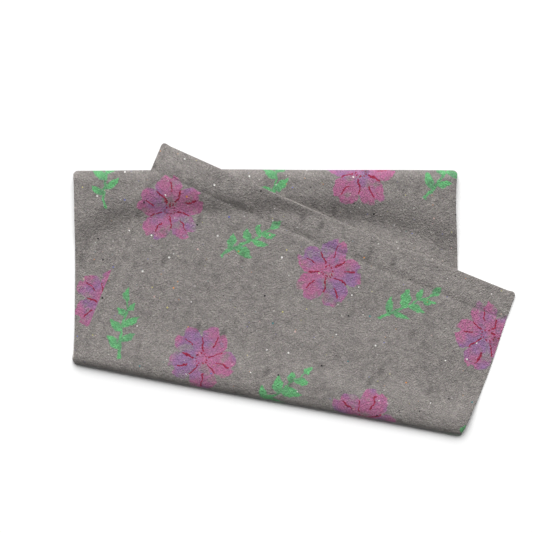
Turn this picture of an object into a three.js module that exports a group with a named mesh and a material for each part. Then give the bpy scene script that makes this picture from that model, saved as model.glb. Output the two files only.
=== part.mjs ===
// A printed cotton tea towel, folded in three and laid flat, as one sheet of cloth.
// The lowest layer lies on the surface. The first flap is folded down over it at the straight top fold,
// and the front flap is folded up over both at the bottom fold, which is askew.
// Sizes are in millimetres and +Z is up. The underside rests on z = 0 and the origin is under the middle.

import * as THREE from 'three';

// The cloth, laid out flat
const clothWidth = 460;
const clothLength = 743.5;
const clothThickness = 2;
const hemDepth = 34;
const hemExtraThickness = 1;
const hemTaper = 10;
const frontEndOutOfSquare = 8;
const frontEndHollow = 3;
const frontEndShift = { across: -0.6, length: 160 };
const cornerRadius = 5.5;

// Where it is folded: along the cloth from its hidden end, and down the left side of the packet
const topFoldAlong = 230;
const leftSideHeight = 230;
const bottomFoldAngle = THREE.MathUtils.degToRad(11);
const bottomFoldSpread = { left: 2, leftLength: 22, right: 3.6, rightLength: 150 };
const bottomFoldPull = { depth: 3.5, from: 80, to: 460, length: 50 };
const topFoldCrowns = [
  { height: 1.9, at: 178, width: 110 },
  { height: 1.1, at: 385, width: 100 },
];
const topFoldCrownDepth = 32;
const leftHollow = 1.6;
const rightHollow = { depth: 2.2, fromTopFold: 42, width: 40 };
const frontRightBulge = { depth: 3.2, fromFold: 82, width: 58 };

// How the layers lie
const layerGap = 1.3;
const foldRoundness = { below: 0.36, above: 0.76 };
const foldCorner = { radius: 5, depth: 8 };
const topFold = { reach: 12, slopeFrom: 5, slopeTo: 47, slopeSkew: 1.4 };
const topFoldFlare = { left: 52, leftLength: 24, right: 44, rightLength: 28 };
const topFoldFullness = { share: 0.12, at: 330, width: 90 };
const bottomFold = { reach: 10.5, reachAtLeft: 9.5, leftLength: 120, slopeWidth: 24 };
const cornerTuck = { length: 12, share: 0.2 };
const firstFlapRise = { height: 0.9, from: 70, to: 130, side: 40 };
const hiddenHemLift = { height: 0.8, from: 176, to: 208 };
const frontFlapSag = { depth: 2, from: 244, to: 306 };
const topOverhangWidth = 42;
const rightDrop = { from: -8, to: 36 };
const restClearance = 0.3;
const seamTrough = { depth: 0.35, thinning: 0.4, width: 3.5 };

const clothColour = 0x86817d;

// Half the thickness of plain cloth is used everywhere below
const halfCloth = clothThickness / 2;

function clamp01(value) {
  return Math.min(1, Math.max(0, value));
}

function ease(value, from, to) {
  const share = clamp01((value - from) / (to - from));
  return share * share * (3 - 2 * share);
}

function bell(distance, width) {
  return Math.exp(-((distance / width) ** 2));
}

// A fold's section is two quarters of ellipses: a low one below its outermost line and a high one above it.
// This is the arc of such a quarter for a reach of 1, as lengths at even angles.
const quarterSteps = 48;

function quarterArc(roundness) {
  const arc = [0];
  for (let i = 1; i <= quarterSteps; i++) {
    const before = ((i - 1) / quarterSteps) * (Math.PI / 2);
    const after = (i / quarterSteps) * (Math.PI / 2);
    const run = Math.cos(before) - Math.cos(after);
    const rise = roundness * (Math.sin(after) - Math.sin(before));
    arc.push(arc[i - 1] + Math.hypot(run, rise));
  }
  return arc;
}

const foldArc = { below: quarterArc(foldRoundness.below), above: quarterArc(foldRoundness.above) };
const arcLength = { below: foldArc.below[quarterSteps], above: foldArc.above[quarterSteps] };

function angleOnFold(arc, length) {
  let step = 1;
  while (step < quarterSteps && arc[step] < length) {
    step++;
  }
  const share = (length - arc[step - 1]) / (arc[step] - arc[step - 1]);
  return ((step - 1 + clamp01(share)) / quarterSteps) * (Math.PI / 2);
}

// From the cloth's distance past a fold's outermost line, upwards along the cloth, to its distance inside
// that line and the height of its middle over the surface
function foldSection(upwards, reach) {
  const part = upwards < 0 ? 'below' : 'above';
  const side = upwards < 0 ? -1 : 1;
  const away = Math.abs(upwards);
  let inward = halfCloth + away - reach * (arcLength[part] - 1);
  let sine = 1;
  if (away < reach * arcLength[part]) {
    const angle = angleOnFold(foldArc[part], away / reach);
    inward = halfCloth + reach * (1 - Math.cos(angle));
    sine = Math.sin(angle);
  }
  const height = halfCloth + reach * (foldRoundness.below + side * sine * foldRoundness[part]);
  return { inward, height };
}

// A fold is flatter where it ends at a side of the cloth
function sideTuck(across) {
  const toSide = Math.min(across, clothWidth - across);
  return 1 - cornerTuck.share * (1 - ease(toSide, 0, cornerTuck.length));
}

function topFoldReach(across) {
  const fuller = 1 + topFoldFullness.share * bell(across - topFoldFullness.at, topFoldFullness.width);
  return topFold.reach * fuller * sideTuck(across);
}

function bottomFoldReach(across) {
  const atLeft = Math.exp(-across / bottomFold.leftLength);
  const reach = bottomFold.reach + (bottomFold.reachAtLeft - bottomFold.reach) * atLeft;
  return reach * sideTuck(across);
}

function crestHeight(reach) {
  return halfCloth + (foldRoundness.below + foldRoundness.above) * reach;
}

// A fold's line turns inwards at both its ends, so that the packet's corners are round
function foldCornerDraw(across, inward) {
  const intoCorner = Math.max(0, foldCorner.radius - Math.min(across, clothWidth - across));
  const draw = foldCorner.radius - Math.sqrt(foldCorner.radius ** 2 - intoCorner ** 2);
  return draw * bell(inward - halfCloth, foldCorner.depth);
}

// The height of the first flap's middle over the surface, x from the left side, y up from the top fold
function firstFlapHeight(x, y, reach) {
  const inside = -y - halfCloth;
  const level = 3 * halfCloth + layerGap;
  const fromSide = ease(Math.min(x, clothWidth - x), 0, firstFlapRise.side);
  const rise = firstFlapRise.height * fromSide * ease(inside, firstFlapRise.from, firstFlapRise.to);
  const flareLeft = topFoldFlare.left * Math.exp(-Math.max(x, 0) / topFoldFlare.leftLength);
  const flareRight = topFoldFlare.right * Math.exp(-Math.max(clothWidth - x, 0) / topFoldFlare.rightLength);
  const slopeLength = topFold.slopeTo - topFold.slopeFrom + flareLeft + flareRight;
  const fallen = (inside - reach - topFold.slopeFrom) / slopeLength;
  const bulge = (crestHeight(reach) - level) * (1 - ease(clamp01(fallen) ** topFold.slopeSkew, 0, 1));
  return level + rise + bulge;
}

// The height of the front flap's middle: over the first flap, past the top fold, or down on the surface
function frontFlapHeight(x, y, doubled) {
  const onSurface = halfCloth + restClearance;
  const reach = topFold.reach;
  const overLayers = clothThickness + layerGap;
  const pastCrest = y + halfCloth + reach;
  let height;
  if (pastCrest > 0) {
    height = onSurface + (crestHeight(reach) + overLayers - onSurface) * bell(pastCrest, topOverhangWidth);
  } else {
    height = firstFlapHeight(x, y, reach) + overLayers;
    height += hiddenHemLift.height * ease(-y, hiddenHemLift.from, hiddenHemLift.to);
    height -= frontFlapSag.depth * ease(-y, frontFlapSag.from, frontFlapSag.to);
  }
  height += (onSurface - height) * ease(x - clothWidth, rightDrop.from, rightDrop.to);
  return height + (doubled * hemExtraThickness) / 2;
}

// The bottom fold's line: its direction, and the direction from it into the packet
const foldDirection = { x: Math.cos(bottomFoldAngle), y: -Math.sin(bottomFoldAngle) };
const foldInward = { x: Math.sin(bottomFoldAngle), y: Math.cos(bottomFoldAngle) };

// Where the bottom fold's middle crosses the cloth, as a length along it
function bottomFoldAlong(across) {
  const reach = bottomFoldReach(across);
  const offset = halfCloth + reach * (1 - arcLength.below);
  const y = offset / foldInward.y - across * Math.tan(bottomFoldAngle) - leftSideHeight;
  return topFoldAlong - y - halfCloth + topFoldReach(across) * (arcLength.below - 1);
}

function frontEndAlong(across) {
  const share = across / clothWidth;
  const skew = frontEndOutOfSquare * (0.5 - share);
  return clothLength + skew - frontEndHollow * Math.sin(Math.PI * share);
}

// How doubled the cloth is: 1 in a hem, 0 between the hems
function hemShare(along, endAlong) {
  const toEnd = Math.min(along, endAlong - along);
  return 1 - ease(toEnd, hemDepth - hemTaper, hemDepth + 1);
}

// Turns the square corners of the cloth into round ones
function roundCorner(across, along, endAlong) {
  const sideX = across < clothWidth / 2 ? -1 : 1;
  const sideY = along < endAlong / 2 ? -1 : 1;
  const centreX = sideX < 0 ? cornerRadius : clothWidth - cornerRadius;
  const centreY = sideY < 0 ? cornerRadius : endAlong - cornerRadius;
  const u = (sideX * (across - centreX)) / cornerRadius;
  const v = (sideY * (along - centreY)) / cornerRadius;
  if (u <= 0 || v <= 0) {
    return { across, along };
  }
  return {
    across: centreX + sideX * cornerRadius * u * Math.sqrt(1 - (v * v) / 2),
    along: centreY + sideY * cornerRadius * v * Math.sqrt(1 - (u * u) / 2),
  };
}

// The sides are a little hollow along the packet, and spread out at the bottom fold. Past that fold the right
// side swells, and the whole front end lies a little to the left.
function sideShift(across, along) {
  const share = across / clothWidth;
  const leftPart = Math.max(0, 1 - 2 * share) ** 2;
  const rightPart = Math.max(0, 2 * share - 1) ** 2;
  const fromTopFold = Math.abs(along - topFoldAlong);
  const leftBow = leftHollow * Math.sin(Math.PI * clamp01(fromTopFold / leftSideHeight));
  const rightBow = rightHollow.depth * bell(fromTopFold - rightHollow.fromTopFold, rightHollow.width);
  const pastFold = along - bottomFoldAlong(across);
  const leftSpread = bottomFoldSpread.left * (1 - share) ** 3 * bell(pastFold, bottomFoldSpread.leftLength);
  const rightSpread = bottomFoldSpread.right * share ** 3 * bell(pastFold, bottomFoldSpread.rightLength);
  const bulge = frontRightBulge.depth * bell(pastFold - frontRightBulge.fromFold, frontRightBulge.width);
  const endShift = frontEndShift.across * bell(frontEndAlong(across) - along, frontEndShift.length);
  return leftPart * leftBow - leftSpread + rightPart * (bulge - rightBow) + rightSpread + endShift;
}

// The top fold's line is not quite straight: it swells outwards in two places
function topFoldCrownHeight(x) {
  let height = 0;
  for (const crown of topFoldCrowns) {
    height += crown.height * bell(x - crown.at, crown.width);
  }
  return height;
}

// The place in space of a point in the middle of the cloth's thickness
function placeOnCloth(flatAcross, flatAlong) {
  const endAlong = frontEndAlong(flatAcross);
  const { across, along } = roundCorner(flatAcross, flatAlong, endAlong);
  const doubled = hemShare(along, endAlong);
  const x = across + sideShift(across, along);
  const topReach = topFoldReach(across);
  const pastTopFold = along - topFoldAlong;
  const top = foldSection(-pastTopFold, topReach);
  const crown = topFoldCrownHeight(x) * bell(top.inward, topFoldCrownDepth);
  const y = crown - top.inward - foldCornerDraw(across, top.inward);

  if (pastTopFold <= 0) {
    if (top.inward < halfCloth + topReach) {
      return new THREE.Vector3(x, y, top.height);
    }
    return new THREE.Vector3(x, y, firstFlapHeight(x, y, topReach) + (doubled * hemExtraThickness) / 2);
  }

  const reach = bottomFoldReach(across);
  const insideFold = x * foldInward.x + (y + leftSideHeight) * foldInward.y;
  const distance = halfCloth + reach * (1 - arcLength.below) - insideFold;
  const alongFold = x * foldDirection.x + (y + leftSideHeight) * foldDirection.y;
  const pull = bottomFoldPull.depth * ease(alongFold, bottomFoldPull.from, bottomFoldPull.to);
  if (distance < -reach * arcLength.below) {
    const drawn = pull * bell(insideFold, bottomFoldPull.length) + foldCornerDraw(across, insideFold);
    return new THREE.Vector3(x + drawn * foldInward.x, y + drawn * foldInward.y, top.height);
  }

  // Past the start of the bottom fold the cloth is turned over the fold's line
  const { inward, height } = foldSection(distance, reach);
  const drawn = inward + pull * bell(inward, bottomFoldPull.length) + foldCornerDraw(across, inward);
  const foldedX = alongFold * foldDirection.x + drawn * foldInward.x;
  const foldedY = alongFold * foldDirection.y + drawn * foldInward.y - leftSideHeight;
  if (inward < halfCloth + reach) {
    return new THREE.Vector3(foldedX, foldedY, height);
  }
  const lying = frontFlapHeight(foldedX, foldedY, doubled);
  const crest = (crestHeight(reach) - lying) * bell(inward - halfCloth - reach, bottomFold.slopeWidth);
  const seam = seamTrough.depth * bell(endAlong - along - hemDepth, seamTrough.width);
  return new THREE.Vector3(foldedX, foldedY, lying + crest - seam);
}

// Half the thickness at a point, and the direction square to the cloth there
function clothSurface(across, along, side) {
  const step = 0.5;
  const endAlong = frontEndAlong(across);
  const left = Math.max(0, across - step);
  const right = Math.min(clothWidth, across + step);
  const before = Math.max(0, along - step);
  const after = Math.min(endAlong, along + step);
  const alongX = placeOnCloth(right, Math.min(along, frontEndAlong(right)));
  alongX.sub(placeOnCloth(left, Math.min(along, frontEndAlong(left))));
  const alongY = placeOnCloth(across, after).sub(placeOnCloth(across, before));
  const square = new THREE.Vector3().crossVectors(alongX, alongY).normalize();
  const thinning = seamTrough.thinning * bell(endAlong - along - hemDepth, seamTrough.width);
  const half = halfCloth + (hemShare(along, endAlong) * hemExtraThickness - thinning) / 2;
  return placeOnCloth(across, along).addScaledVector(square, side * half);
}

// Columns across the cloth: closer at both sides, where the edges turn and the front flap leaves the packet
const columnBands = [
  { to: cornerRadius, columns: 2 },
  { to: 14, columns: 1 },
  { to: 56, columns: 3 },
  { to: 370, columns: 18 },
  { to: 446, columns: 7 },
  { to: clothWidth - cornerRadius, columns: 1 },
  { to: clothWidth, columns: 2 },
];

// Rows along the cloth: each band ends at a line that follows a hem, a fold or the start of its slope
const topFoldBelow = topFold.reach * arcLength.below;
const topFoldAbove = topFold.reach * arcLength.above;
const bottomFoldBelow = bottomFold.reach * arcLength.below + 2;
const bottomFoldAbove = bottomFold.reach * arcLength.above + 2;
const rowBands = [
  { to: () => cornerRadius, rows: 2 },
  { to: () => hemDepth - hemTaper, rows: 1 },
  { to: () => hemDepth + 1, rows: 2 },
  { to: () => topFoldAlong - 110, rows: 3 },
  { to: () => topFoldAlong - topFoldAbove, rows: 10 },
  { to: () => topFoldAlong, rows: 6 },
  { to: () => topFoldAlong + topFoldBelow, rows: 5 },
  { to: (across) => bottomFoldAlong(across) - bottomFoldBelow, rows: 5 },
  { to: (across) => bottomFoldAlong(across), rows: 5 },
  { to: (across) => bottomFoldAlong(across) + bottomFoldAbove, rows: 7 },
  { to: (across) => bottomFoldAlong(across) + 62, rows: 6 },
  { to: (across) => frontEndAlong(across) - hemDepth - 9, rows: 12 },
  { to: (across) => frontEndAlong(across) - hemDepth, rows: 3 },
  { to: (across) => frontEndAlong(across) - hemDepth + hemTaper, rows: 4 },
  { to: (across) => frontEndAlong(across) - cornerRadius, rows: 2 },
  { to: (across) => frontEndAlong(across), rows: 2 },
];

function columnPlaces() {
  const places = [0];
  let from = 0;
  for (const { to, columns } of columnBands) {
    for (let i = 1; i <= columns; i++) {
      places.push(from + ((to - from) * i) / columns);
    }
    from = to;
  }
  return places;
}

function rowPlaces(across) {
  const places = [0];
  let from = 0;
  for (const { to, rows } of rowBands) {
    const end = to(across);
    for (let i = 1; i <= rows; i++) {
      places.push(from + ((end - from) * i) / rows);
    }
    from = end;
  }
  return places;
}

// The closed body: the printed face, the back, and the rim that joins them all round
function makeCloth() {
  const columns = columnPlaces();
  const positions = [];
  const rowCount = rowPlaces(0).length;
  for (const side of [1, -1]) {
    for (const across of columns) {
      for (const along of rowPlaces(across)) {
        positions.push(...clothSurface(across, along, side).toArray());
      }
    }
  }
  const layerSize = columns.length * rowCount;
  const vertex = (layer, column, row) => layer * layerSize + column * rowCount + row;
  const triangles = [];
  const addQuad = (a, b, c, d) => {
    triangles.push(a, b, c, a, c, d);
  };
  const lastColumn = columns.length - 1;
  const lastRow = rowCount - 1;
  for (let i = 0; i < lastColumn; i++) {
    for (let j = 0; j < lastRow; j++) {
      addQuad(vertex(0, i, j), vertex(0, i + 1, j), vertex(0, i + 1, j + 1), vertex(0, i, j + 1));
      addQuad(vertex(1, i, j), vertex(1, i, j + 1), vertex(1, i + 1, j + 1), vertex(1, i + 1, j));
    }
  }
  for (let i = 0; i < lastColumn; i++) {
    addQuad(vertex(1, i, 0), vertex(1, i + 1, 0), vertex(0, i + 1, 0), vertex(0, i, 0));
    addQuad(
      vertex(0, i, lastRow),
      vertex(0, i + 1, lastRow),
      vertex(1, i + 1, lastRow),
      vertex(1, i, lastRow),
    );
  }
  for (let j = 0; j < lastRow; j++) {
    addQuad(vertex(0, 0, j), vertex(0, 0, j + 1), vertex(1, 0, j + 1), vertex(1, 0, j));
    addQuad(
      vertex(1, lastColumn, j),
      vertex(1, lastColumn, j + 1),
      vertex(0, lastColumn, j + 1),
      vertex(0, lastColumn, j),
    );
  }
  const geometry = new THREE.BufferGeometry();
  geometry.setAttribute('position', new THREE.Float32BufferAttribute(positions, 3));
  geometry.setIndex(triangles);
  return geometry;
}

const geometry = makeCloth();

// The origin goes under the middle of the folded towel
geometry.computeBoundingBox();
const middle = geometry.boundingBox.getCenter(new THREE.Vector3());
geometry.translate(-middle.x, -middle.y, -geometry.boundingBox.min.z);
geometry.computeVertexNormals();

const material = new THREE.MeshStandardMaterial({ color: clothColour, roughness: 0.95, metalness: 0 });
const towel = new THREE.Mesh(geometry, material);
towel.name = 'towel';

const group = new THREE.Group();
group.add(towel);

export default group;
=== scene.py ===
import bpy
import numpy as np
from math import cos, pi, radians, sin, tan
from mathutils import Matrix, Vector


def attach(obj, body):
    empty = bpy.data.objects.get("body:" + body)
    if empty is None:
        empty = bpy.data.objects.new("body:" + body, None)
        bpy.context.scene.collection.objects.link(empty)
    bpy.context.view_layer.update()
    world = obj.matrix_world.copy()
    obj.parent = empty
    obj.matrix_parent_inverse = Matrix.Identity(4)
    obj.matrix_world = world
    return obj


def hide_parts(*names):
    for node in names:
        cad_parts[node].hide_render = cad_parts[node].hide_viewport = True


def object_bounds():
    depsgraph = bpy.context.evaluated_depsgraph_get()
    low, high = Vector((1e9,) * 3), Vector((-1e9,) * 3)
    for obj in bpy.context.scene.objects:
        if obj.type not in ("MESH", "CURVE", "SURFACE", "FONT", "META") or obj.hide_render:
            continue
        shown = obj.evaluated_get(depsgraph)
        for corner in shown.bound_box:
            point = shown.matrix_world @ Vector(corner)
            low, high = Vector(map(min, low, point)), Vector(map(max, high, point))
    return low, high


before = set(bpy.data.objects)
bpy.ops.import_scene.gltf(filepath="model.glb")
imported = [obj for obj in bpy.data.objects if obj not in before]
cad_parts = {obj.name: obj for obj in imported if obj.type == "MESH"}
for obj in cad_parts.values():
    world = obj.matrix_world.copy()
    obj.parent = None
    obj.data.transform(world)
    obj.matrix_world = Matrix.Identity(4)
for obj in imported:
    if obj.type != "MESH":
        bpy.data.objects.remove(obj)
cad_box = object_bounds()

# The tea towel itself: one rectangle of cotton with a short nap, printed on its face and left plain on its
# back. Both ends are turned under and sewn down as 34 mm hems. It is folded in three and laid flat, and its
# front flap is folded up askew, so that the hemmed end crosses the top fold.

# Sizes are in millimetres, as the cloth is cut and folded, and become metres when the mesh is made
metres = 0.001
cloth_width = 460
cloth_length = 743.5
cloth_thickness = 2
half_cloth = cloth_thickness / 2
hem_depth = 34
hem_extra_thickness = 1
hem_taper = 10
front_end_out_of_square = 8
front_end_hollow = 3
front_end_shift = {"across": -0.6, "length": 160}
corner_radius = 5.5

top_fold_along = 230
left_side_height = 230
bottom_fold_angle = radians(11)
bottom_fold_spread = {"left": 2, "left_length": 22, "right": 3.6, "right_length": 150}
bottom_fold_pull = {"depth": 3.5, "start": 80, "end": 460, "length": 50}
top_fold_crowns = [{"height": 1.9, "at": 178, "width": 110}, {"height": 1.1, "at": 385, "width": 100}]
top_fold_crown_depth = 32
left_hollow = 1.6
right_hollow = {"depth": 2.2, "from_top_fold": 42, "width": 40}
front_right_bulge = {"depth": 3.2, "from_fold": 82, "width": 58}

layer_gap = 1.3
fold_roundness = {"below": 0.36, "above": 0.76}
fold_corner = {"radius": 5, "depth": 8}
top_fold = {"reach": 12, "slope_start": 3, "slope_end": 37, "slope_skew": 1.3}
top_fold_flare = {"left": 58, "left_length": 46, "right": 62, "right_length": 74, "start_share": 0.6}
top_fold_fullness = {"share": 0.12, "at": 330, "width": 90}
bottom_fold = {"reach": 10.5, "reach_at_left": 9.5, "left_length": 120, "slope_width": 24}
bottom_fold_slump = {"left": 1.5, "more": 6.5, "over": 300}
corner_tuck = {"length": 12, "share": 0.2}
first_flap_rise = {"height": 0.9, "start": 70, "end": 130, "side": 40}
hidden_hem_lift = {"height": 0.8, "start": 176, "end": 208}
front_flap_sag = {"depth": 2, "start": 244, "end": 306}
top_overhang_width = 42
right_drop = {"start": -8, "end": 36}
rest_clearance = 0.3
seam_trough = {"depth": 0.35, "thinning": 0.4, "width": 3.5}


# A smooth step, from 0 before the start to 1 past the end
def ease(value, start, end):
    share = np.clip((value - start) / (end - start), 0, 1)
    return share * share * (3 - 2 * share)


# A soft bump, 1 at no distance and nearly 0 at twice the width
def bell(distance, width):
    return np.exp(-((distance / width) ** 2))


# A fold's section is two quarters of ellipses: a low one below its outermost line and a high one above it.
# This is the arc of such a quarter for a reach of 1, as lengths at even angles.
quarter_angles = np.linspace(0, pi / 2, 49)


def quarter_arc(roundness):
    steps = np.hypot(np.diff(np.cos(quarter_angles)), roundness * np.diff(np.sin(quarter_angles)))
    return np.concatenate([[0], np.cumsum(steps)])


fold_arc = {part: quarter_arc(fold_roundness[part]) for part in ("below", "above")}
arc_length = {part: fold_arc[part][-1] for part in ("below", "above")}


# From distances past a fold's outermost line, upwards along the cloth, to distances inside that line
# and heights over the surface
def fold_section(upwards, reach):
    away = np.abs(upwards)
    inward, height = {}, {}
    for part, side in (("below", -1), ("above", 1)):
        straight = away >= reach * arc_length[part]
        angle = np.interp(away / reach, fold_arc[part], quarter_angles)
        past_arc = away - reach * (arc_length[part] - 1)
        inward[part] = half_cloth + np.where(straight, past_arc, reach * (1 - np.cos(angle)))
        rise = side * fold_roundness[part] * np.where(straight, 1.0, np.sin(angle))
        height[part] = half_cloth + reach * (fold_roundness["below"] + rise)
    is_below = upwards < 0
    section_inward = np.where(is_below, inward["below"], inward["above"])
    section_height = np.where(is_below, height["below"], height["above"])
    return section_inward, section_height


# The folds are a little thinner at their ends, where the cloth's sides are tucked in
def side_tuck(across):
    to_side = np.minimum(across, cloth_width - across)
    return 1 - corner_tuck["share"] * (1 - ease(to_side, 0, corner_tuck["length"]))


def top_fold_reach(across):
    from_fullest = across - top_fold_fullness["at"]
    fuller = 1 + top_fold_fullness["share"] * bell(from_fullest, top_fold_fullness["width"])
    return top_fold["reach"] * fuller * side_tuck(across)


def bottom_fold_reach(across):
    at_left = np.exp(-across / bottom_fold["left_length"])
    reach = bottom_fold["reach"] + (bottom_fold["reach_at_left"] - bottom_fold["reach"]) * at_left
    return reach * side_tuck(across)


# How far in the bottom fold's upper side comes level: it slumps, most of all to the right, so that is further
# in than its section alone would be
def bottom_fold_slope(across, reach):
    more = bottom_fold_slump["more"] * ease(across, 0, bottom_fold_slump["over"])
    return reach + bottom_fold_slump["left"] + more


def crest_height(reach):
    return half_cloth + (fold_roundness["below"] + fold_roundness["above"]) * reach


# A fold's line turns inwards at both its ends, so that the packet's corners are round
def fold_corner_draw(across, inward):
    radius = fold_corner["radius"]
    into_corner = np.maximum(0, radius - np.minimum(across, cloth_width - across))
    draw = radius - np.sqrt(radius**2 - into_corner**2)
    return draw * bell(inward - half_cloth, fold_corner["depth"])


# Heights of the cloth's middle over the surface, x from the packet's left side, y up from its top fold
def first_flap_height(x, y, reach):
    inside = -y - half_cloth
    level = 3 * half_cloth + layer_gap
    from_side = ease(np.minimum(x, cloth_width - x), 0, first_flap_rise["side"])
    further_in = ease(inside, first_flap_rise["start"], first_flap_rise["end"])
    rise = first_flap_rise["height"] * from_side * further_in
    flare_left = top_fold_flare["left"] * np.exp(-np.maximum(x, 0) / top_fold_flare["left_length"])
    to_right = np.maximum(cloth_width - x, 0)
    flare_right = top_fold_flare["right"] * np.exp(-to_right / top_fold_flare["right_length"])
    slope_start = top_fold["slope_start"] + top_fold_flare["start_share"] * (flare_left + flare_right)
    slope_end = top_fold["slope_end"] + flare_left + flare_right
    fallen = np.clip((inside - reach - slope_start) / (slope_end - slope_start), 0, 1)
    return level + rise + (crest_height(reach) - level) * (1 - ease(fallen ** top_fold["slope_skew"], 0, 1))


# The front flap lies over the first flap, and past the top fold it drops to the surface
def front_flap_height(x, y, doubled):
    on_surface = half_cloth + rest_clearance
    reach = top_fold["reach"]
    over_layers = cloth_thickness + layer_gap
    past_crest = y + half_cloth + reach
    overhang = (crest_height(reach) + over_layers - on_surface) * bell(past_crest, top_overhang_width)
    lying = first_flap_height(x, y, reach) + over_layers
    lying += hidden_hem_lift["height"] * ease(-y, hidden_hem_lift["start"], hidden_hem_lift["end"])
    lying -= front_flap_sag["depth"] * ease(-y, front_flap_sag["start"], front_flap_sag["end"])
    height = np.where(past_crest > 0, on_surface + overhang, lying)
    height = height + (on_surface - height) * ease(x - cloth_width, right_drop["start"], right_drop["end"])
    return height + doubled * hem_extra_thickness / 2


fold_direction = (cos(bottom_fold_angle), -sin(bottom_fold_angle))
fold_inward = (sin(bottom_fold_angle), cos(bottom_fold_angle))


# How far along the cloth the bottom fold's outermost line is
def bottom_fold_along(across):
    offset = half_cloth + bottom_fold_reach(across) * (1 - arc_length["below"])
    y = offset / fold_inward[1] - across * tan(bottom_fold_angle) - left_side_height
    return top_fold_along - y - half_cloth + top_fold_reach(across) * (arc_length["below"] - 1)


# How far along the cloth its front end is: a little out of square and hollow
def front_end_along(across):
    share = across / cloth_width
    return cloth_length + front_end_out_of_square * (0.5 - share) - front_end_hollow * np.sin(pi * share)


# 1 where the cloth is doubled in a hem, easing to 0 just past the hem's edge
def hem_share(along, end_along):
    return 1 - ease(np.minimum(along, end_along - along), hem_depth - hem_taper, hem_depth + 1)


# Draws the places near a corner of the flat cloth in, so that the grid follows its round corner
def round_corner(across, along, end_along):
    side_x = np.where(across < cloth_width / 2, -1.0, 1.0)
    side_y = np.where(along < end_along / 2, -1.0, 1.0)
    centre_x = np.where(side_x < 0, corner_radius, cloth_width - corner_radius)
    centre_y = np.where(side_y < 0, corner_radius, end_along - corner_radius)
    u = side_x * (across - centre_x) / corner_radius
    v = side_y * (along - centre_y) / corner_radius
    in_corner = (u > 0) & (v > 0)
    rounded_across = centre_x + side_x * corner_radius * u * np.sqrt(np.maximum(1 - v * v / 2, 0))
    rounded_along = centre_y + side_y * corner_radius * v * np.sqrt(np.maximum(1 - u * u / 2, 0))
    return np.where(in_corner, rounded_across, across), np.where(in_corner, rounded_along, along)


# How far the sides stand out from straight lines or in from them, eased off towards the cloth's middle
def side_shift(across, along):
    share = across / cloth_width
    left_part = np.maximum(0, 1 - 2 * share) ** 2
    right_part = np.maximum(0, 2 * share - 1) ** 2
    from_top_fold = np.abs(along - top_fold_along)
    left_bow = left_hollow * np.sin(pi * np.clip(from_top_fold / left_side_height, 0, 1))
    from_hollow = from_top_fold - right_hollow["from_top_fold"]
    right_bow = right_hollow["depth"] * bell(from_hollow, right_hollow["width"])
    past_fold = along - bottom_fold_along(across)
    near_fold_left = bell(past_fold, bottom_fold_spread["left_length"])
    near_fold_right = bell(past_fold, bottom_fold_spread["right_length"])
    left_spread = bottom_fold_spread["left"] * (1 - share) ** 3 * near_fold_left
    right_spread = bottom_fold_spread["right"] * share**3 * near_fold_right
    from_bulge = past_fold - front_right_bulge["from_fold"]
    bulge = front_right_bulge["depth"] * bell(from_bulge, front_right_bulge["width"])
    end_shift = front_end_shift["across"] * bell(front_end_along(across) - along, front_end_shift["length"])
    return left_part * left_bow - left_spread + right_part * (bulge - right_bow) + right_spread + end_shift


# Fine shapes of the front flap: the seam's puckers, the fuller edges, a faint lengthwise crease
# and the soft swells that the cloth keeps from being folded
seam_line = {"depth": 0.3, "width": 1.2}
puckers = {"height": 0.32, "reach": 8, "spacing": 11}
end_ridge = {"height": 0.4, "at": 3.5, "width": 3.2}
side_ridge = {"height": 0.45, "at": 3.5, "width": 3.0}
side_groove = {"depth": 0.4, "at": 9.5, "width": 3.6}
long_crease = {"from_side": 92, "height": 0.3, "width": 2.2, "start": 12, "fade": 140, "end": 175}
seam_tightest = {"at": 62, "width": 26, "more": 0.6}
relief_start = 12
swells = [
    {"across": 67, "to_end": 236, "wide": 32, "long": 15, "height": 1.3},
    {"across": 274, "to_end": 190, "wide": 36, "long": 14, "height": 1.1},
    {"across": 379, "to_end": 162, "wide": 26, "long": 14, "height": 1.1},
    {"across": 120, "to_end": 120, "wide": 30, "long": 26, "height": 0.5},
    {"across": 250, "to_end": 80, "wide": 40, "long": 22, "height": 0.5},
    {"across": 395, "to_end": 110, "wide": 24, "long": 40, "height": 0.6},
    {"across": 60, "to_end": 60, "wide": 40, "long": 12, "height": -0.5},
]


# How hard the seam pulls the cloth, along its length: hardest a little in from its left end
def seam_pull(across):
    slow = 0.5 + 0.3 * np.sin(across / 37 + 2.2) + 0.2 * np.sin(across / 17)
    tightest = seam_tightest["more"] * bell(across - seam_tightest["at"], seam_tightest["width"])
    return 0.35 + 0.5 * np.clip(slow, 0, 1) + tightest


# The puckers' rise and fall along the seam, uneven in spacing and strength
def pucker_wave(across):
    turns = across / puckers["spacing"]
    uneven = np.sin(2 * pi * turns + 1.9 * np.sin(across / 23) + 1.2 * np.sin(across / 9.1 + 1))
    strength = 0.55 + 0.45 * np.sin(across / 31 + 0.8) * np.sin(across / 13.7)
    return uneven * strength


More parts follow.
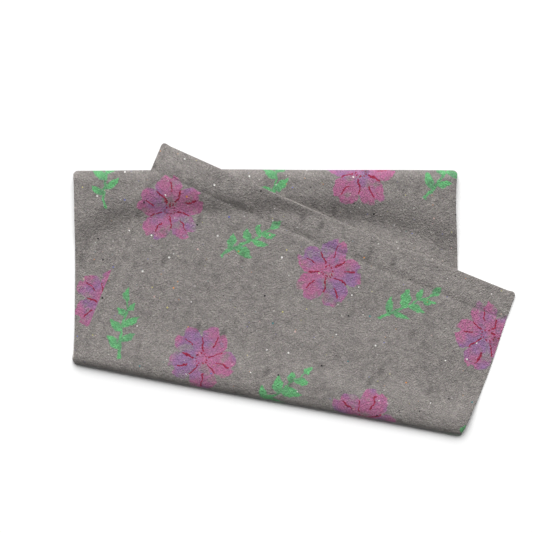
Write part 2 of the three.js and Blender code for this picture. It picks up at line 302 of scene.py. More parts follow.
def front_flap_relief(across, along, end_along):
    to_end = end_along - along
    from_seam = to_end - hem_depth
    pulled = seam_pull(across)
    relief = -seam_line["depth"] * pulled * bell(from_seam, seam_line["width"])
    relief += puckers["height"] * pulled * pucker_wave(across) * bell(from_seam, puckers["reach"])
    relief += end_ridge["height"] * bell(to_end - end_ridge["at"], end_ridge["width"])
    relief += side_ridge["height"] * bell(across - side_ridge["at"], side_ridge["width"])
    relief -= side_groove["depth"] * bell(across - side_groove["at"], side_groove["width"])
    crease_fade = 1 - ease(to_end, long_crease["fade"], long_crease["end"])
    along_crease = ease(to_end, 0, long_crease["start"]) * crease_fade
    from_crease = across - long_crease["from_side"]
    relief += long_crease["height"] * along_crease * bell(from_crease, long_crease["width"])
    for swell in swells:
        side_away = (across - swell["across"]) / swell["wide"]
        end_away = (to_end - swell["to_end"]) / swell["long"]
        relief += swell["height"] * bell(np.hypot(side_away, end_away), 1)
    return relief


# Carries points of the flat cloth to their places in the packet, in the middle of the cloth's thickness:
# the first flap up to the top fold, then the lowest layer, and from the bottom fold on the front flap
def place_on_cloth(flat_across, flat_along):
    end_along = front_end_along(flat_across)
    across, along = round_corner(flat_across, flat_along, end_along)
    doubled = hem_share(along, end_along)
    x = across + side_shift(across, along)
    top_reach = top_fold_reach(across)
    past_top_fold = along - top_fold_along
    top_inward, top_height = fold_section(-past_top_fold, top_reach)
    crown = sum(crown["height"] * bell(x - crown["at"], crown["width"]) for crown in top_fold_crowns)
    y = crown * bell(top_inward, top_fold_crown_depth) - top_inward - fold_corner_draw(across, top_inward)
    on_top_fold = top_inward < half_cloth + top_reach
    flap_height = first_flap_height(x, y, top_reach) + doubled * hem_extra_thickness / 2
    first_flap = np.stack([x, y, np.where(on_top_fold, top_height, flap_height)], -1)

    reach = bottom_fold_reach(across)
    inside_fold = x * fold_inward[0] + (y + left_side_height) * fold_inward[1]
    distance = half_cloth + reach * (1 - arc_length["below"]) - inside_fold
    along_fold = x * fold_direction[0] + (y + left_side_height) * fold_direction[1]
    pull = bottom_fold_pull["depth"] * ease(along_fold, bottom_fold_pull["start"], bottom_fold_pull["end"])
    drawn = pull * bell(inside_fold, bottom_fold_pull["length"]) + fold_corner_draw(across, inside_fold)
    lowest = np.stack([x + drawn * fold_inward[0], y + drawn * fold_inward[1], top_height], -1)

    inward, on_fold = fold_section(distance, reach)
    slope = bottom_fold_slope(across, reach)
    up_slope = np.sqrt(1 - (1 - np.clip((inward - half_cloth) / slope, 0, 1)) ** 2)
    slumped = half_cloth + (fold_roundness["below"] + fold_roundness["above"] * up_slope) * reach
    on_fold = np.where(distance > 0, slumped, on_fold)
    drawn = inward + pull * bell(inward, bottom_fold_pull["length"]) + fold_corner_draw(across, inward)
    folded_x = along_fold * fold_direction[0] + drawn * fold_inward[0]
    folded_y = along_fold * fold_direction[1] + drawn * fold_inward[1] - left_side_height
    past_slope = inward - half_cloth - slope
    lying = front_flap_height(folded_x, folded_y, doubled)
    lying = lying + (crest_height(reach) - lying) * bell(past_slope, bottom_fold["slope_width"])
    lying = lying - seam_trough["depth"] * bell(end_along - along - hem_depth, seam_trough["width"])
    lying = lying + front_flap_relief(across, along, end_along) * ease(past_slope, 0, relief_start)
    front_height = np.where(inward < half_cloth + slope, on_fold, lying)
    front_flap = np.stack([folded_x, folded_y, front_height], -1)

    on_first_flap = (past_top_fold <= 0)[..., None]
    before_bottom_fold = (distance < -reach * arc_length["below"])[..., None]
    return np.where(on_first_flap, first_flap, np.where(before_bottom_fold, lowest, front_flap))


# The direction out of the printed face, from points a small step away on either side
def cloth_normal(across, along):
    step = 0.4
    left = np.maximum(0, across - step)
    right = np.minimum(cloth_width, across + step)
    before = np.maximum(0, along - step)
    after = np.minimum(front_end_along(across), along + step)
    across_step = place_on_cloth(right, np.minimum(along, front_end_along(right)))
    across_step = across_step - place_on_cloth(left, np.minimum(along, front_end_along(left)))
    along_step = place_on_cloth(across, after) - place_on_cloth(across, before)
    square = np.cross(across_step, along_step)
    return square / np.linalg.norm(square, axis=-1, keepdims=True)


# Points at a share of the half thickness out from the middle: 1 is the printed face and -1 the back
def cloth_points(across, along, share):
    end_along = front_end_along(across)
    thinning = seam_trough["thinning"] * bell(end_along - along - hem_depth, seam_trough["width"])
    half = half_cloth + (hem_share(along, end_along) * hem_extra_thickness - thinning) / 2
    return place_on_cloth(across, along) + (share * half)[..., None] * cloth_normal(across, along)


# The grid's columns and rows: each band ends at a line that follows a hem, a fold or the start of its slope,
# and is closer where the cloth shows or bends. Past edge_inset from each edge the rim goes on round it.
edge_inset = 0.7
column_bands = [(corner_radius, 4), (16, 5), (80, 27), (104, 14), (400, 118), (cloth_width - 16, 20)]
column_bands += [(cloth_width - corner_radius, 5), (cloth_width - edge_inset, 4)]


def row_bands(across):
    fold_line = bottom_fold_along(across)
    end = front_end_along(across)
    return [
        (corner_radius, 3),
        (hem_depth - 3, 3),
        (hem_depth + 1, 2),
        (top_fold_along - 100, 6),
        (top_fold_along - 50, 14),
        (top_fold_along - top_fold["reach"] * arc_length["above"], 18),
        (top_fold_along, 11),
        (top_fold_along + top_fold["reach"] * arc_length["below"], 9),
        (fold_line - bottom_fold["reach"] * arc_length["below"] - 2, 10),
        (fold_line, 10),
        (fold_line + bottom_fold["reach"] * arc_length["above"] + 2, 13),
        (end - hem_depth - 12, 68),
        (end - hem_depth - 4, 5),
        (end - hem_depth + 4, 10),
        (end - hem_depth + 14, 6),
        (end - corner_radius, 8),
        (end - edge_inset, 4),
    ]


def places_in_bands(bands):
    places = [edge_inset]
    start = edge_inset
    for end, count in bands:
        places += [start + (end - start) * i / count for i in range(1, count + 1)]
        start = end
    return places


columns = np.array(places_in_bands(column_bands))
rows = np.array([places_in_bands(row_bands(across)) for across in columns])
across_grid = np.repeat(columns[:, None], rows.shape[1], axis=1)
column_count, row_count = across_grid.shape
grid_size = column_count * row_count
flat_places = np.stack([across_grid.ravel(), rows.ravel()], -1)
vertex_number = np.arange(grid_size).reshape(column_count, row_count)

# The two faces
printed_face = cloth_points(flat_places[:, 0], flat_places[:, 1], np.ones(grid_size))
back_face = cloth_points(flat_places[:, 0], flat_places[:, 1], -np.ones(grid_size))
lower_left, lower_right = vertex_number[:-1, :-1].ravel(), vertex_number[1:, :-1].ravel()
upper_left, upper_right = vertex_number[:-1, 1:].ravel(), vertex_number[1:, 1:].ravel()
printed_quads = np.stack([lower_left, lower_right, upper_right, upper_left], -1)
back_quads = np.stack([lower_left, upper_left, upper_right, lower_right], -1) + grid_size

# The rim goes round from the printed face to the back. In the hems it has a groove, between their two layers.
rim_angles = [radians(angle) for angle in (62, 34, 13, 0, -13, -34, -62)]
hem_groove = 0.9
edge_loop = np.concatenate(
    [
        vertex_number[:, 0],
        vertex_number[-1, 1:],
        vertex_number[-2::-1, -1],
        vertex_number[0, -2:0:-1],
    ]
)
edge_across, edge_along = flat_places[edge_loop, 0], flat_places[edge_loop, 1]
edge_end = front_end_along(edge_across)
at_left = edge_across <= edge_inset
at_right = edge_across >= cloth_width - edge_inset
at_start = edge_along <= edge_inset
at_end = edge_along >= edge_end - edge_inset - 1e-6
at_hem_side = (at_left | at_right) & ~at_start & ~at_end
rim_places, rim_points = [], []
for angle in rim_angles:
    inset = edge_inset * (1 - cos(angle)) * np.ones(len(edge_loop))
    if angle == 0:
        inset = inset + hem_groove * hem_share(edge_along, edge_end) * at_hem_side
    across = np.where(at_left, inset, np.where(at_right, cloth_width - inset, edge_across))
    along = np.where(at_start, inset, np.where(at_end, front_end_along(across) - inset, edge_along))
    rim_places.append(np.stack([across, along], -1))
    rim_points.append(cloth_points(across, along, sin(angle) * np.ones(len(edge_loop))))
loop_length = len(edge_loop)
rings = [edge_loop]
rings += [2 * grid_size + k * loop_length + np.arange(loop_length) for k in range(len(rim_angles))]
rings += [edge_loop + grid_size]
rim_quads = []
for inner, outer in zip(rings, rings[1:]):
    rim_quads.append(np.stack([inner, outer, np.roll(outer, -1), np.roll(inner, -1)], -1))

points = np.concatenate([printed_face, back_face] + rim_points)
places = np.concatenate([flat_places, flat_places] + rim_places)
quads = np.concatenate([printed_quads, back_quads] + rim_quads)
printed_rim = len(rim_quads) // 2 * loop_length
back_side = np.zeros(len(quads), int)
back_side[len(printed_quads) : len(printed_quads) + len(back_quads)] = 1
back_side[len(printed_quads) + len(back_quads) + printed_rim :] = 1

# The packet lies with its middle over the frame's origin, its underside on the surface
packet_low, packet_high = points.min(0), points.max(0)
packet_middle = (packet_low + packet_high) / 2
packet_origin = np.array([packet_middle[0], packet_middle[1], packet_low[2]])
cad_middle = (cad_box[0] + cad_box[1]) / 2


def in_frame(packet_points):
    moved = (packet_points - packet_origin) * metres
    return moved + np.array([cad_middle.x, cad_middle.y, cad_box[0].z])


towel_mesh = bpy.data.meshes.new("tea_towel")
towel_mesh.from_pydata(in_frame(points).tolist(), [], quads.tolist())
towel_mesh.polygons.foreach_set("material_index", back_side)
towel_mesh.polygons.foreach_set("use_smooth", [True] * len(quads))
corner_vertices = np.zeros(len(towel_mesh.loops), int)
towel_mesh.loops.foreach_get("vertex_index", corner_vertices)
cloth_map = towel_mesh.uv_layers.new(name="cloth")
cloth_map.data.foreach_set("uv", (places[corner_vertices] * metres).ravel())
towel_mesh.update()
towel = bpy.data.objects.new("tea_towel", towel_mesh)
bpy.context.scene.collection.objects.link(towel)


# Printed cotton. The design is laid out in the cloth's own millimetres, so it runs on over the folds.
class Recipe:
    """A material or node group, put together from small steps that each give back their result."""

    def __init__(self, tree):
        self.tree = tree

    def node(self, kind, inputs=(), **settings):
        made = self.tree.nodes.new(kind)
        for name, value in settings.items():
            setattr(made, name, value)
        for name, value in dict(inputs).items():
            if isinstance(value, bpy.types.NodeSocket):
                self.tree.links.new(value, made.inputs[name])
            else:
                made.inputs[name].default_value = value
        return made

    def calc(self, operation, *values):
        made = self.node("ShaderNodeMath", enumerate(values), operation=operation)
        return made.outputs[0]

    def vector(self, operation, *values):
        inputs = dict(enumerate(values))
        if operation == "SCALE":
            inputs = {0: values[0], "Scale": values[1]}
        made = self.node("ShaderNodeVectorMath", inputs, operation=operation)
        return made.outputs["Value" if operation in ("LENGTH", "DISTANCE", "DOT_PRODUCT") else "Vector"]

    def point(self, x, y, z=0.0):
        return self.node("ShaderNodeCombineXYZ", {0: x, 1: y, 2: z}).outputs[0]

    def parts(self, vector):
        return self.node("ShaderNodeSeparateXYZ", {0: vector}).outputs

    def rise(self, value, start, end, low=0.0, high=1.0):
        inputs = {"Value": value, "From Min": start, "From Max": end, "To Min": low, "To Max": high}
        made = self.node("ShaderNodeMapRange", inputs, interpolation_type="SMOOTHSTEP")
        return made.outputs["Result"]

    def noise(self, vector, scale, detail=2.0, roughness=0.5, distortion=0.0):
        inputs = {"Vector": vector, "Scale": scale, "Detail": detail, "Roughness": roughness}
        inputs["Distortion"] = distortion
        return self.node("ShaderNodeTexNoise", inputs)

    def mix(self, share, first, second, blend_type="MIX"):
        made = self.node("ShaderNodeMix", data_type="RGBA", blend_type=blend_type)
        for socket, value in zip((made.inputs[0], made.inputs[6], made.inputs[7]), (share, first, second)):
            if isinstance(value, bpy.types.NodeSocket):
                self.tree.links.new(value, socket)
            else:
                socket.default_value = value
        return made.outputs[2]


def colour(red, green, blue):
    """A colour as a dyer's card gives it, 0 to 255 in display values, for a shader."""
    shares = [value / 255 for value in (red, green, blue)]
    linear = [s / 12.92 if s <= 0.04045 else ((s + 0.055) / 1.055) ** 2.4 for s in shares]
    return (*linear, 1.0)


grey_ground = colour(143, 138, 135)
grey_light = colour(164, 158, 154)
grey_dark = colour(114, 110, 108)
petal_pink = colour(184, 104, 148)
petal_mauve = colour(150, 108, 158)
petal_violet = colour(132, 124, 154)
stroke_red = colour(148, 34, 60)
leaf_green = colour(104, 184, 120)
leaf_shade = colour(98, 156, 112)

printed_cotton = bpy.data.materials.new("printed_cotton")
printed_cotton.use_nodes = True
printed_cotton.node_tree.nodes.clear()
cotton = Recipe(printed_cotton.node_tree)
cloth_uv = cotton.node("ShaderNodeUVMap", uv_map="cloth").outputs[0]
on_cloth = cotton.vector("SCALE", cloth_uv, 1 / metres)

# The grey ground: cloudy in broad patches, with finer mottling like a rubbed wall
broad = cotton.noise(on_cloth, 0.017, 3.0, 0.55).outputs[0]
mottle = cotton.noise(on_cloth, 0.11, 4.0, 0.62, 0.4).outputs[0]
ground = cotton.mix(cotton.rise(broad, 0.32, 0.7), grey_dark, grey_ground)
ground = cotton.mix(0.55, ground, grey_ground)
ground = cotton.mix(cotton.rise(mottle, 0.38, 0.72, 0.0, 0.6), ground, grey_light)
ground = cotton.mix(cotton.rise(mottle, 0.46, 0.26, 0.0, 0.55), ground, grey_dark)

# The coordinates of the print wander a little, as a hand-printed edge does
wander = cotton.noise(on_cloth, 0.045, 2.0, 0.6).outputs["Color"]
wander = cotton.vector("SUBTRACT", wander, (0.5, 0.5, 0.5))
crumble = cotton.noise(on_cloth, 0.42, 2.0, 0.6).outputs["Color"]
crumble = cotton.vector("SUBTRACT", crumble, (0.5, 0.5, 0.5))
print_place = cotton.vector("ADD", on_cloth, cotton.vector("SCALE", wander, 15.0))
print_place = cotton.vector("ADD", print_place, cotton.vector("SCALE", crumble, 3.4))

# The repeat: a blossom and a leafy sprig side by side, each row of them set half a repeat along
repeat_across, repeat_along = 204.0, 152.0
repeat_start = (-64.0, -6.0)


# Each repeat's own coordinates, from the middle of its cell, and a chance value that is the same all over it
def repeat_cells(place, offset):
    moved = cotton.parts(cotton.vector("SUBTRACT", place, (*repeat_start, 0.0)))
    row = cotton.calc("FLOOR", cotton.calc("DIVIDE", moved[1], repeat_along))
    shift = cotton.calc("MULTIPLY", cotton.calc("FLOORED_MODULO", row, 2.0), repeat_across / 2)
    shift = cotton.calc("ADD", shift, offset)
    along_row = cotton.calc("SUBTRACT", moved[0], shift)
    column = cotton.calc("FLOOR", cotton.calc("DIVIDE", along_row, repeat_across))
    column_middle = cotton.calc("MULTIPLY", cotton.calc("ADD", column, 0.5), repeat_across)
    row_middle = cotton.calc("MULTIPLY", cotton.calc("ADD", row, 0.5), repeat_along)
    x = cotton.calc("SUBTRACT", along_row, column_middle)
    y = cotton.calc("SUBTRACT", moved[1], row_middle)
    chance = cotton.node(
        "ShaderNodeTexWhiteNoise",
        {"Vector": cotton.point(column, row, offset)},
        noise_dimensions="3D",
    )
    return x, y, chance.outputs["Value"]


def turned(x, y, angle):
    turn_cos, turn_sin = cotton.calc("COSINE", angle), cotton.calc("SINE", angle)
    x_cos, x_sin = cotton.calc("MULTIPLY", x, turn_cos), cotton.calc("MULTIPLY", x, turn_sin)
    y_cos, y_sin = cotton.calc("MULTIPLY", y, turn_cos), cotton.calc("MULTIPLY", y, turn_sin)
    return cotton.calc("ADD", x_cos, y_sin), cotton.calc("SUBTRACT", y_cos, x_sin)


# The blossom: five open petals with notched tips, a ring of dots at its eye and strokes out along the petals
petal_reach = 42.0
petal_count = 5
x, y, blossom_chance = repeat_cells(print_place, 0.0)
x, y = turned(x, y, cotton.calc("MULTIPLY", blossom_chance, 6.0))
from_eye = cotton.vector("LENGTH", cotton.point(x, y))
around = cotton.calc("MULTIPLY", cotton.calc("ARCTAN2", y, x), petal_count / 2)
petal_middle = cotton.calc("ABSOLUTE", cotton.calc("COSINE", around))
petal_gap = cotton.calc("ABSOLUTE", cotton.calc("SINE", around))
roundness = cotton.calc("POWER", petal_middle, 0.45)
notch = cotton.rise(petal_middle, 0.965, 1.0, 0.0, 5.0)
outline = cotton.calc("MULTIPLY_ADD", roundness, petal_reach * 0.5, petal_reach * 0.5)
outline = cotton.calc("SUBTRACT", outline, notch)
petals = cotton.rise(cotton.calc("SUBTRACT", outline, from_eye), -0.3, 1.6)
faded = cotton.noise(on_cloth, 0.05, 3.0, 0.6).outputs[0]
petal_tone = cotton.noise(on_cloth, 0.028, 2.0, 0.6).outputs[0]
petal_colour = cotton.mix(cotton.rise(petal_tone, 0.36, 0.56), petal_mauve, petal_pink)
petal_colour = cotton.mix(cotton.rise(faded, 0.6, 0.76, 0.0, 0.8), petal_colour, petal_violet)
chalk = cotton.noise(on_cloth, 0.32, 3.0, 0.7).outputs[0]
petal_cover = cotton.calc("MULTIPLY", petals, cotton.rise(chalk, 0.3, 0.6, 0.62, 0.88))
petal_cover = cotton.calc("MULTIPLY", petal_cover, cotton.rise(faded, 0.34, 0.5, 0.35, 1.0))
design = cotton.mix(petal_cover, ground, petal_colour)


# A red stroke out from the eye, along the lines where closeness is 0
def stroke(closeness, half_width, start, end):
    wide = cotton.calc("MULTIPLY", cotton.calc("MULTIPLY", closeness, from_eye), 2 / petal_count)
    line = cotton.rise(wide, half_width + 0.45, half_width - 0.25)
    line = cotton.calc("MULTIPLY", line, cotton.rise(from_eye, start - 0.5, start + 0.5))
    return cotton.calc("MULTIPLY", line, cotton.rise(from_eye, end + 0.5, end - 0.5))


between_petals = stroke(petal_middle, 0.8, 9.0, 25.0)
petal_veins = stroke(petal_gap, 0.75, 19.0, 33.0)
ring = cotton.calc("ABSOLUTE", cotton.calc("SUBTRACT", from_eye, 6.2))
dots = cotton.calc("SINE", cotton.calc("MULTIPLY", around, 4.0))
eye_ring = cotton.calc("MULTIPLY", cotton.rise(ring, 1.35, 0.75), cotton.rise(dots, -0.1, 0.3))
strokes = cotton.calc("MAXIMUM", cotton.calc("MAXIMUM", between_petals, petal_veins), eye_ring)
design = cotton.mix(cotton.calc("MULTIPLY", strokes, 0.92), design, stroke_red)

# The sprig: a bent stem with pairs of leaves and one leaf at its tip
leaf_sizes = {"length": 22.0, "half_width": 5.4}
x, y, sprig_chance = repeat_cells(print_place, repeat_across / 2)
lean = cotton.rise(sprig_chance, 0.0, 1.0, -0.75, 0.75)
x, y = turned(x, y, lean)
bend = cotton.calc("MULTIPLY", cotton.calc("SINE", cotton.calc("MULTIPLY", y, 0.045)), 3.5)
x = cotton.calc("SUBTRACT", x, bend)
beside_stem = cotton.calc("ABSOLUTE", x)
stem_half = cotton.rise(y, -42.0, 34.0, 2.1, 1.1)
stem = cotton.calc("SUBTRACT", stem_half, beside_stem)
stem = cotton.calc("MINIMUM", stem, cotton.calc("SUBTRACT", 40.0, cotton.calc("ABSOLUTE", y)))
stagger = cotton.calc("MULTIPLY", cotton.calc("SIGN", x), 3.0)


# How far inside a leaf's outline a place is, the leaf running along from its joint to its tip
def leaf(across_leaf, along_leaf, length, half_width):
    share = cotton.calc("DIVIDE", along_leaf, length)
    share = cotton.calc("MINIMUM", cotton.calc("MAXIMUM", share, 0.0), 1.0)
    swell = cotton.calc("SINE", cotton.calc("MULTIPLY", cotton.calc("POWER", share, 0.8), pi))
    wide = cotton.calc("MULTIPLY", swell, half_width)
    return cotton.calc("SUBTRACT", wide, cotton.calc("ADD", cotton.calc("ABSOLUTE", across_leaf), 0.35))


leaves = leaf(x, cotton.calc("SUBTRACT", y, 30.0), 17.0, 4.6)
for height, size, angle in ((-22.0, 1.0, 0.95), (-3.0, 1.05, 0.85), (15.0, 0.8, 0.75)):
    from_joint = cotton.calc("SUBTRACT", cotton.calc("SUBTRACT", y, height), stagger)
    leaf_x, leaf_y = turned(beside_stem, from_joint, -angle)
    pair = leaf(leaf_x, leaf_y, leaf_sizes["length"] * size, leaf_sizes["half_width"] * size)
    leaves = cotton.calc("MAXIMUM", leaves, pair)
sprig = cotton.rise(cotton.calc("MAXIMUM", stem, leaves), -0.4, 0.9)
sprig = cotton.calc("MULTIPLY", sprig, cotton.rise(chalk, 0.28, 0.55, 0.7, 0.95))
leaf_tone = cotton.noise(on_cloth, 0.07, 2.0, 0.6).outputs[0]
design = cotton.mix(sprig, design, cotton.mix(cotton.rise(leaf_tone, 0.4, 0.66), leaf_green, leaf_shade))

# Flecks of stray colour all over, and short dark smudges
fleck_colours = [
    (0.0, colour(238, 236, 232)),
    (0.34, colour(38, 36, 40)),
    (0.62, colour(206, 178, 172)),
    (0.72, colour(222, 148, 82)),
    (0.79, colour(118, 122, 196)),
    (0.86, colour(214, 206, 130)),
    (0.92, colour(74, 128, 132)),
]


def flecks(design_so_far, cell, share_shown, radius, strength):
    spots = cotton.node(
        "ShaderNodeTexVoronoi", {"Vector": on_cloth, "Scale": 1 / cell}, voronoi_dimensions="2D"
    )
    chance = cotton.parts(spots.outputs["Color"])
    size = cotton.rise(chance[1], 0.0, 1.0, radius * 0.55, radius)
    apart = cotton.calc("MULTIPLY", spots.outputs["Distance"], cell)
    shown = cotton.calc("LESS_THAN", chance[0], share_shown)
    spot = cotton.rise(cotton.calc("SUBTRACT", size, apart), -0.25, 0.25, 0.0, strength)
    ramp = cotton.node("ShaderNodeValToRGB", {0: chance[2]})
    ramp.color_ramp.interpolation = "CONSTANT"
    for i, (start, tint) in enumerate(fleck_colours):
        stop = ramp.color_ramp.elements[i] if i < 2 else ramp.color_ramp.elements.new(start)
        stop.position = start
        stop.color = tint
    return cotton.mix(cotton.calc("MULTIPLY", spot, shown), design_so_far, ramp.outputs[0])


smudge_cell = 48.0
smudge_place = cotton.node("ShaderNodeMapping", {"Vector": on_cloth, "Scale": (1.0, 0.45, 1.0)})
smudges = cotton.node(
    "ShaderNodeTexVoronoi",
    {"Vector": smudge_place.outputs[0], "Scale": 1 / smudge_cell},
    voronoi_dimensions="2D",
)
smudge_shape = cotton.calc("MULTIPLY", smudges.outputs["Distance"], smudge_cell)
smudge_edge = cotton.calc("MULTIPLY", cotton.calc("SUBTRACT", chalk, 0.5), 6.0)
smudge = cotton.rise(cotton.calc("ADD", smudge_shape, smudge_edge), 5.0, 1.0, 0.0, 0.4)
design = cotton.mix(smudge, design, colour(70, 66, 66))
design = flecks(design, cell=11.0, share_shown=0.3, radius=0.8, strength=0.45)
design = flecks(design, cell=25.0, share_shown=0.5, radius=1.2, strength=0.95)

# The nap: short crinkled tufts, bumped, with their light and shade painted into the colour as well, and a
# fine tinted grain of the fibres
tuft_place = cotton.node("ShaderNodeMapping", {"Vector": on_cloth, "Scale": (1.0, 0.6, 1.0)})
tufts = cotton.noise(tuft_place.outputs[0], 0.6, 1.5, 0.6, 0.8).outputs[0]
fibres = cotton.noise(on_cloth, 0.85, 1.0, 0.6, 0.3)
# Painted light and shade of the tufts and fibres: a brightness multiplier on the colour that follows their
# bump
painted_nap_shade = cotton.rise(tufts, 0.32, 0.68, 0.86, 1.14)
painted_nap_shade = cotton.calc("MULTIPLY", painted_nap_shade, cotton.rise(fibres.outputs[0], 0.32, 0.68, 0.87, 1.13))
grain = cotton.mix(0.14, (0.5, 0.5, 0.5, 1.0), fibres.outputs["Color"])
napped = cotton.mix(1.0, design, cotton.point(painted_nap_shade, painted_nap_shade, painted_nap_shade), "MULTIPLY")
napped = cotton.mix(1.0, napped, cotton.vector("SCALE", grain, 2.0), "MULTIPLY")

# Plain weave under the nap, as a fine rise and fall of the threads
thread_pitch = 0.9
woven = cotton.parts(cotton.vector("SCALE", on_cloth, pi / thread_pitch))
weave = cotton.calc("MULTIPLY", cotton.calc("SINE", woven[0]), cotton.calc("SINE", woven[1]))
nap_height = cotton.calc("MULTIPLY_ADD", weave, 0.05, tufts)
nap_height = cotton.calc("MULTIPLY_ADD", fibres.outputs[0], 0.5, nap_height)
nap_bump = cotton.node("ShaderNodeBump", {"Height": nap_height, "Strength": 1.0, "Distance": 0.0022})
face_shader = cotton.node(
    "ShaderNodeBsdfPrincipled",
    {
        "Base Color": napped,
        "Roughness": 0.93,
        "Specular IOR Level": 0.18,
        "Sheen Weight": 0.01,
        "Sheen Roughness": 0.5,
        "Normal": nap_bump.outputs[0],
    },
)
cotton.node("ShaderNodeOutputMaterial", {"Surface": face_shader.outputs[0]})

# The back is not printed. It is the plain cloth, with the dye only faintly through it, and painted light and
# shade on its tufts.
plain_cotton = bpy.data.materials.new("plain_cotton_back")
plain_cotton.use_nodes = True
plain_cotton.node_tree.nodes.clear()
back = Recipe(plain_cotton.node_tree)
on_back = back.vector("SCALE", back.node("ShaderNodeUVMap", uv_map="cloth").outputs[0], 1 / metres)
soak = back.noise(on_back, 0.06, 3.0, 0.6).outputs[0]
back_tufts = back.noise(on_back, 0.7, 3.0, 0.65, 1.0).outputs[0]
back_ground = back.mix(back.rise(soak, 0.35, 0.7), colour(196, 192, 188), colour(214, 211, 207))
# Painted light and shade of the back's tufts, multiplied into its colour; the tufts are bumped as well
painted_back_nap_shade = back.rise(back_tufts, 0.3, 0.7, 0.88, 1.1)
back_colour = back.mix(1.0, back_ground, back.point(painted_back_nap_shade, painted_back_nap_shade, painted_back_nap_shade), "MULTIPLY")
back_woven = back.parts(back.vector("SCALE", on_back, pi / thread_pitch))
back_weave = back.calc("MULTIPLY", back.calc("SINE", back_woven[0]), back.calc("SINE", back_woven[1]))
back_height = back.calc("MULTIPLY_ADD", back_weave, 0.2, back_tufts)
back_bump = back.node("ShaderNodeBump", {"Height": back_height, "Strength": 0.6, "Distance": 0.0012})
back_shader = back.node(
    "ShaderNodeBsdfPrincipled",
    {
        "Base Color": back_colour,
        "Roughness": 0.95,
        "Specular IOR Level": 0.15,
        "Sheen Weight": 0.15,
        "Sheen Roughness": 0.5,
        "Normal": back_bump.outputs[0],
    },
)
back.node("ShaderNodeOutputMaterial", {"Surface": back_shader.outputs[0]})

towel_mesh.materials.append(printed_cotton)
towel_mesh.materials.append(plain_cotton)
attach(towel, "root")
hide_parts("towel")

# The hem stitching: one lockstitched seam along each hem, 34 mm in from the end, in grey cotton thread.
# Each stitch is a short raised length on the face and on the back, thinner and pulled down at both its ends.
stitch_pitch = 3.3
stitch_length = 2.6
thread_radius = 0.22
stitch_rise = 0.16
stitch_sink = 0.12
pulled_down_share = 0.55
surface_clearance = 0.05
stitch_sections = 5
stitch_sides = 5
seam_margin = 3.0

stitch_starts = np.arange(seam_margin, cloth_width - seam_margin - stitch_length, stitch_pitch)
stitch_points, stitch_quads = [], []
section_angles = np.linspace(0, 2 * pi, stitch_sides, endpoint=False)
for hem_end in ("start", "end"):
    for face in (1.0, -1.0):
        for start in stitch_starts:
            shares = np.linspace(0, 1, stitch_sections)
            across = start + stitch_length * shares
            along = np.full(stitch_sections, float(hem_depth))
            if hem_end == "end":
                along = front_end_along(across) - hem_depth
            surface = cloth_points(across, along, np.full(stitch_sections, face))
            out = cloth_normal(across, along) * face
            run = np.gradient(surface, axis=0)
            run = run / np.linalg.norm(run, axis=-1, keepdims=True)
            beside = np.cross(run, out)
            centres = surface + out * (stitch_rise * np.sin(pi * shares) - stitch_sink)[:, None]
            radii = thread_radius * np.where((shares > 0) & (shares < 1), 1.0, pulled_down_share)
            first = len(stitch_points) * stitch_sections * stitch_sides
            ring = centres[:, None, :] + radii[:, None, None] * (
                np.cos(section_angles)[None, :, None] * beside[:, None, :]
                + np.sin(section_angles)[None, :, None] * out[:, None, :]
            )
            ring[..., 2] = np.maximum(ring[..., 2], packet_low[2] + surface_clearance)
            stitch_points.append(ring.reshape(-1, 3))
            for section in range(stitch_sections - 1):
                for side in range(stitch_sides):
                    a = first + section * stitch_sides + side
                    b = first + section * stitch_sides + (side + 1) % stitch_sides
                    stitch_quads.append((a, b, b + stitch_sides, a + stitch_sides))
            last = first + (stitch_sections - 1) * stitch_sides
            stitch_quads.append(tuple(first + side for side in reversed(range(stitch_sides))))
            stitch_quads.append(tuple(last + side for side in range(stitch_sides)))

stitch_mesh = bpy.data.meshes.new("hem_stitching")
stitch_mesh.from_pydata(in_frame(np.concatenate(stitch_points)).tolist(), [], stitch_quads)
stitch_mesh.polygons.foreach_set("use_smooth", [True] * len(stitch_quads))
stitch_mesh.update()
stitching = bpy.data.objects.new("hem_stitching", stitch_mesh)
bpy.context.scene.collection.objects.link(stitching)

# Spun thread, a shade darker than the ground, with painted light on its plies where they turn up, as well as
# their bump
grey_thread = bpy.data.materials.new("grey_cotton_thread")
grey_thread.use_nodes = True
grey_thread.node_tree.nodes.clear()
thread = Recipe(grey_thread.node_tree)
in_towel = thread.node("ShaderNodeTexCoord").outputs["Object"]
plies = thread.node("ShaderNodeTexWave", {"Vector": in_towel, "Scale": 900.0, "Distortion": 0.6})
# Painted light on the plies: the thread's darker grey mixed with a lighter grey along the same wave that
# bumps them
thread_colour_and_painted_ply_light = thread.mix(plies.outputs["Fac"], colour(112, 108, 106), colour(140, 135, 133))
ply_bump = thread.node(
    "ShaderNodeBump",
    {"Height": plies.outputs["Fac"], "Strength": 0.5, "Distance": 0.0001},
)
thread_shader = thread.node(
    "ShaderNodeBsdfPrincipled",
    {"Base Color": thread_colour_and_painted_ply_light, "Roughness": 0.7, "Specular IOR Level": 0.3, "Normal": ply_bump.outputs[0]},
)
thread.node("ShaderNodeOutputMaterial", {"Surface": thread_shader.outputs[0]})
stitch_mesh.materials.append(grey_thread)
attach(stitching, "root")

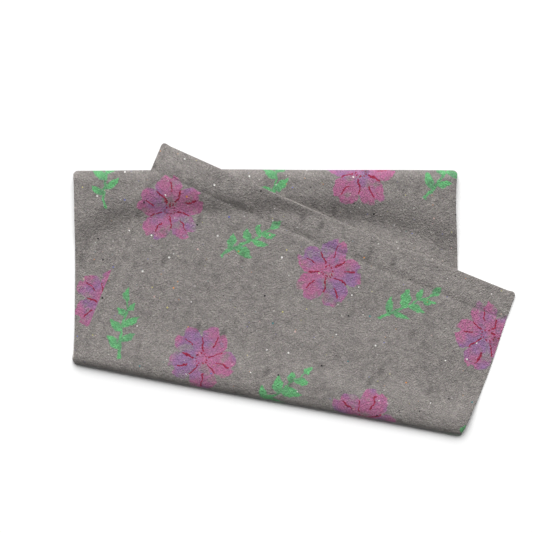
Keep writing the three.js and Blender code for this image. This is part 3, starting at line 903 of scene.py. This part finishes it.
# The surface: a plain white table top, matt, with hardly any tone of its own
table_size = 8.0
surface_mesh = bpy.data.meshes.new("surface")
half_table = table_size / 2
table_corners = [
    (-half_table, -half_table, 0.0),
    (half_table, -half_table, 0.0),
    (half_table, half_table, 0.0),
    (-half_table, half_table, 0.0),
]
surface_mesh.from_pydata(table_corners, [], [(0, 1, 2, 3)])
surface = bpy.data.objects.new("surface", surface_mesh)
bpy.context.scene.collection.objects.link(surface)
white_top = bpy.data.materials.new("white_table_top")
white_top.use_nodes = True
white_top.node_tree.nodes.clear()
top = Recipe(white_top.node_tree)
top_place = top.node("ShaderNodeTexCoord").outputs["Object"]
top_tone = top.noise(top_place, 3.0, 2.0, 0.5).outputs[0]
top_colour = top.mix(top_tone, (0.9, 0.9, 0.9, 1.0), (0.92, 0.92, 0.92, 1.0))
top_shader = top.node(
    "ShaderNodeBsdfPrincipled",
    {"Base Color": top_colour, "Roughness": 0.9, "Specular IOR Level": 0.1},
)
top.node("ShaderNodeOutputMaterial", {"Surface": top_shader.outputs[0]})
surface_mesh.materials.append(white_top)

# The light: one broad soft light from beyond the top fold, as from a large window, and a plain white room
light_azimuth, light_elevation = radians(92), radians(48)
soft_light = bpy.data.lights.new("window_light", "SUN")
soft_light.angle = radians(44)
soft_light.energy = 4.35
window = bpy.data.objects.new("window_light", soft_light)
towards_window = Vector(
    (
        cos(light_elevation) * cos(light_azimuth),
        cos(light_elevation) * sin(light_azimuth),
        sin(light_elevation),
    )
)
window_distance = 2.5
window.location = towards_window * window_distance
window.rotation_euler = (-towards_window).to_track_quat("-Z", "Y").to_euler()
bpy.context.scene.collection.objects.link(window)

room = bpy.data.worlds.new("white_room")
bpy.context.scene.world = room
room.use_nodes = True
room.node_tree.nodes["Background"].inputs["Color"].default_value = (1.0, 1.0, 1.0, 1.0)
room.node_tree.nodes["Background"].inputs["Strength"].default_value = 0.1
bpy.context.scene.view_settings.view_transform = "Standard"

# The camera: straight above, far off with a long lens, so that the packet shows at 1.2 mm a pixel
frame_width = 0.6401
frame_middle = (-0.0327, 0.0268)
camera_height = 3.2
camera_data = bpy.data.cameras.new("camera")
camera_data.sensor_width = 36
camera_data.lens = 36 * camera_height / frame_width
camera = bpy.data.objects.new("camera", camera_data)
camera.location = (*frame_middle, camera_height)
bpy.context.scene.collection.objects.link(camera)
bpy.context.scene.camera = camera
